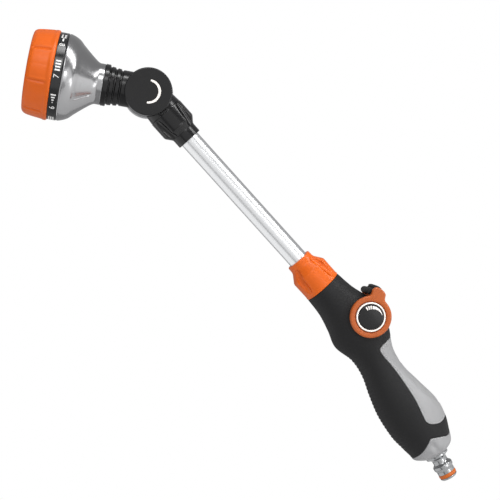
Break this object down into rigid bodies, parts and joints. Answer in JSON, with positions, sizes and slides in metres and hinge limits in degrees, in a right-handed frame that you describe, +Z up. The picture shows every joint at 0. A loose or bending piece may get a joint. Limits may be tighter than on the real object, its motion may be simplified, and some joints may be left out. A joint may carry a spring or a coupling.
{
  "type": "watering wand",
  "caption": "Long-reach watering wand with a soft grip, thumb flow lever, straight tube, tilting head and turning spray selector.",
  "frame": {"origin": "middle of the hose plug's catch ridge, on the plug's own axis", "axes": "+Z up along the straight tube towards the head, -X the side the head leans to, +X the thumb lever's side"},
  "size_m": [0.1233, 0.0752, 0.514],
  "materials": {
    "orange_plastic": "satin moulded orange plastic",
    "black_rubber": "soft matt overmould",
    "black_plastic": "satin moulded black plastic",
    "silver_plastic": "glossy silver-painted plastic",
    "grey_plastic": "satin light grey plastic",
    "white_plastic": "glossy white plastic",
    "natural_plastic": "natural acetal",
    "tube_aluminium": "polished drawn tube",
    "plug_chrome": "chrome-plated",
    "screw_steel": "zinc-plated steel",
    "brass_spring": "spring steel",
    "orange_rubber": "orange silicone seal",
    "black_seal": "nitrile rubber"
  },
  "bodies": {
    "root": {"hose_plug": "plug_chrome", "plug_o_ring": "orange_rubber", "inlet_screen": "screw_steel", "end_bell": "grey_plastic", "handle_core_left": "black_plastic", "handle_core_right": "black_plastic", "grip_cover": "black_rubber", "back_insert": "grey_plastic", "inlet_grommet": "black_seal", "inlet_pipe": "natural_plastic", "outlet_pipe": "natural_plastic", "valve_housing": "natural_plastic", "valve_lid": "natural_plastic", "valve_seats": "black_seal", "tube_socket": "natural_plastic", "tube": "tube_aluminium", "lower_nut": "orange_plastic", "lower_seal": "black_seal", "lower_ferrule": "natural_plastic", "upper_nut": "black_plastic", "upper_seal": "black_seal", "upper_ferrule": "natural_plastic", "knuckle_collar": "black_plastic", "pivot_knuckle": "silver_plastic", "trunnion_o_rings": "black_seal", "thrust_washer": "natural_plastic", "pivot_retainer": "screw_steel", "pivot_screw": "screw_steel"},
    "lever": {"lever_arm_left": "orange_plastic", "lever_arm_right": "orange_plastic", "thumb_pad": "black_rubber", "hub_bezel_left": "white_plastic", "hub_bezel_right": "white_plastic", "hub_cap_left": "black_plastic", "hub_cap_right": "black_plastic", "flow_mark_left": "white_plastic", "flow_mark_right": "white_plastic", "lever_screws": "screw_steel", "valve_drum": "natural_plastic", "stem_o_rings": "black_seal"},
    "head": {"head_elbow": "black_plastic", "pivot_cap": "black_plastic", "tilt_mark": "white_plastic", "head_shell": "silver_plastic", "port_plate": "natural_plastic", "port_seal": "black_seal", "detent_spring": "brass_spring", "detent_ball": "screw_steel", "dial_washer": "screw_steel", "dial_screw": "screw_steel"},
    "dial": {"dial_ring": "orange_plastic", "label_band": "black_plastic", "dial_hub": "natural_plastic", "spray_face": "black_plastic"}
  },
  "joints": [
    {"name": "head_tilt", "type": "hinge", "parent": "root", "child": "head", "pos_m": [0.0258, 0, 0.4017], "axis": [0, 1, 0], "range_deg": [-42, 37.8]},
    {"name": "spray_select", "type": "hinge", "parent": "head", "child": "dial", "pos_m": [-0.0263, 0, 0.46886], "axis": [-0.6129, 0, 0.7902], "continuous": true},
    {"name": "flow_lever", "type": "hinge", "parent": "root", "child": "lever", "pos_m": [0.03745, 0, 0.1398], "axis": [0, 1, 0], "range_deg": [0, 50]}
  ]
}
